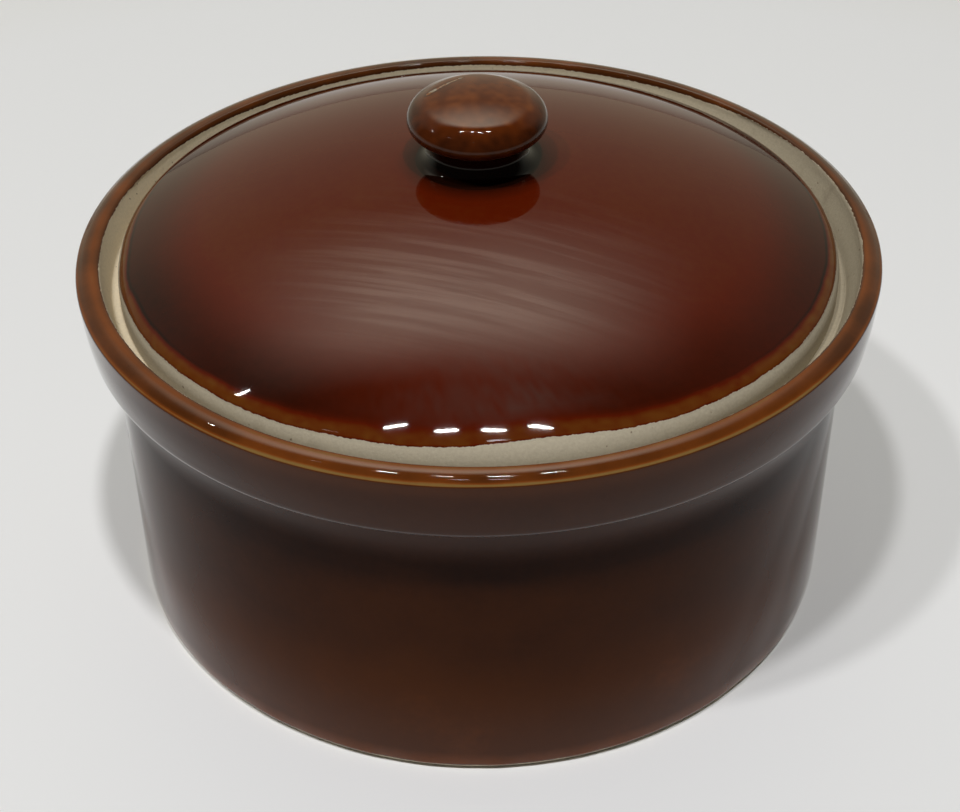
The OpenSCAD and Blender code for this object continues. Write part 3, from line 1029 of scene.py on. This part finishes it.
def studio_world():
    """Soft room light: pale towards the back, darker to the front, with a bright patch; the camera
    sees a plain pale room instead."""
    world = bpy.data.worlds.new("studio")
    world.use_nodes = True
    tree = world.node_tree
    tree.nodes.clear()
    towards = tree.nodes.new("ShaderNodeTexCoord").outputs["Generated"]
    split = tree.nodes.new("ShaderNodeSeparateXYZ")
    tree.links.new(towards, split.inputs["Vector"])
    room = ramp(tree, split.outputs["Y"], ROOM_STOPS)
    dim = remap(tree, split.outputs["X"], *ROOM_SIDES)
    patch = 1.0
    sides = ("X", PATCH_LEFT), ("X", PATCH_RIGHT), ("Y", PATCH_NEAR), ("Y", PATCH_FAR)
    for axis, (gone, full) in sides:
        side = add(tree, "ShaderNodeMapRange", From_Min=gone, From_Max=full)
        side.interpolation_type = "SMOOTHSTEP"
        tree.links.new(split.outputs[axis], side.inputs["Value"])
        patch = math_node(tree, "MULTIPLY", side.outputs["Result"], patch)
    path = tree.nodes.new("ShaderNodeLightPath").outputs
    glossy = path["Is Glossy Ray"]
    dim = math_node(tree, "MULTIPLY", dim, math_node(tree, "MAXIMUM", glossy, ROOM_SPILL))
    patch = math_node(tree, "MULTIPLY", patch, math_node(tree, "MAXIMUM", glossy, PATCH_SPILL))
    lights = []
    for colour_from, strength in ((room, dim), (PATCH_RGB, patch)):
        light = tree.nodes.new("ShaderNodeBackground")
        if isinstance(colour_from, tuple):
            light.inputs["Color"].default_value = (*colour_from, 1)
        else:
            tree.links.new(colour_from, light.inputs["Color"])
        tree.links.new(strength, light.inputs["Strength"])
        lights.append(light.outputs["Background"])
    both = tree.nodes.new("ShaderNodeAddShader")
    for light, socket in zip(lights, both.inputs):
        tree.links.new(light, socket)
    seen = tree.nodes.new("ShaderNodeMixShader")
    pale = add(tree, "ShaderNodeBackground", Color=(*ROOM_RGB, 1))
    sources = path["Is Camera Ray"], both.outputs["Shader"], pale.outputs["Background"]
    for source, socket in zip(sources, seen.inputs):
        tree.links.new(source, socket)
    output = tree.nodes.new("ShaderNodeOutputWorld")
    tree.links.new(seen.outputs["Shader"], output.inputs["Surface"])
    bpy.context.scene.world = world


class COVERED_BOWL_OT_stage(bpy.types.Operator):
    """Set the floor, the lamps, the room light and the camera"""
    bl_idname = "covered_bowl.stage"
    bl_label = "Stage"

    def execute(self, context):
        studio = context.scene.covered_bowl.studio
        bm = bmesh.new()
        bmesh.ops.create_grid(bm, x_segments=1, y_segments=1, size=FLOOR_HALF)
        mesh = bpy.data.meshes.new("studio_floor")
        bm.to_mesh(mesh)
        bm.free()
        mesh.materials.append(floor_material(studio))
        floor = bpy.data.objects.new("studio_floor", mesh)
        context.scene.collection.objects.link(floor)
        for name, place, watts in KEY_LAMPS:
            lamp(name, place, KEY_SIZE, watts, False)
        marks = ("mark", MARK_LAMPS, MARK_WATTS), ("faint", FAINT_LAMPS, FAINT_WATTS)
        for name, places, watts in marks:
            for number, at in enumerate(places):
                lamp(f"{name}_lamp_{number}", (*at, MARK_Z), MARK_SIZE, watts, True)
        studio_world()
        data = bpy.data.cameras.new("photo_camera")
        data.sensor_width = SENSOR
        data.lens = studio.lens
        data.clip_start = NEAREST
        camera = bpy.data.objects.new("photo_camera", data)
        camera.matrix_world = (Matrix.Translation(studio.camera_at) @ Matrix.Rotation(studio.pan, 4, "Z")
                               @ Matrix.Rotation(math.pi / 2 - studio.pitch, 4, "X")
                               @ Matrix.Rotation(studio.roll, 4, "Z"))
        context.scene.collection.objects.link(camera)
        context.scene.camera = camera
        context.scene.view_settings.view_transform = "Standard"
        return {"FINISHED"}


class COVERED_BOWL_PT_panel(bpy.types.Panel):
    """The steps that build the covered bowl"""
    bl_idname = "COVERED_BOWL_PT_panel"
    bl_label = "Covered Bowl"
    bl_space_type = "VIEW_3D"
    bl_region_type = "UI"
    bl_category = "Covered Bowl"

    def draw(self, context):
        for step in STEPS:
            self.layout.operator(step.bl_idname)


SETTINGS = (BowlSizes, LidSizes, KnobSizes, GlazeLook, StudioSettings, CoveredBowl)
STEPS = (COVERED_BOWL_OT_bowl, COVERED_BOWL_OT_lid, COVERED_BOWL_OT_knob, COVERED_BOWL_OT_stage)


def register():
    for item in (*SETTINGS, *STEPS, COVERED_BOWL_PT_panel):
        bpy.utils.register_class(item)
    bpy.types.Scene.covered_bowl = PointerProperty(type=CoveredBowl)


def unregister():
    del bpy.types.Scene.covered_bowl
    for item in reversed((*SETTINGS, *STEPS, COVERED_BOWL_PT_panel)):
        bpy.utils.unregister_class(item)


def main():
    register()
    bpy.ops.covered_bowl.bowl()
    bpy.ops.covered_bowl.lid()
    bpy.ops.covered_bowl.knob()
    bpy.ops.covered_bowl.stage()


if __name__ == "__main__":
    main()
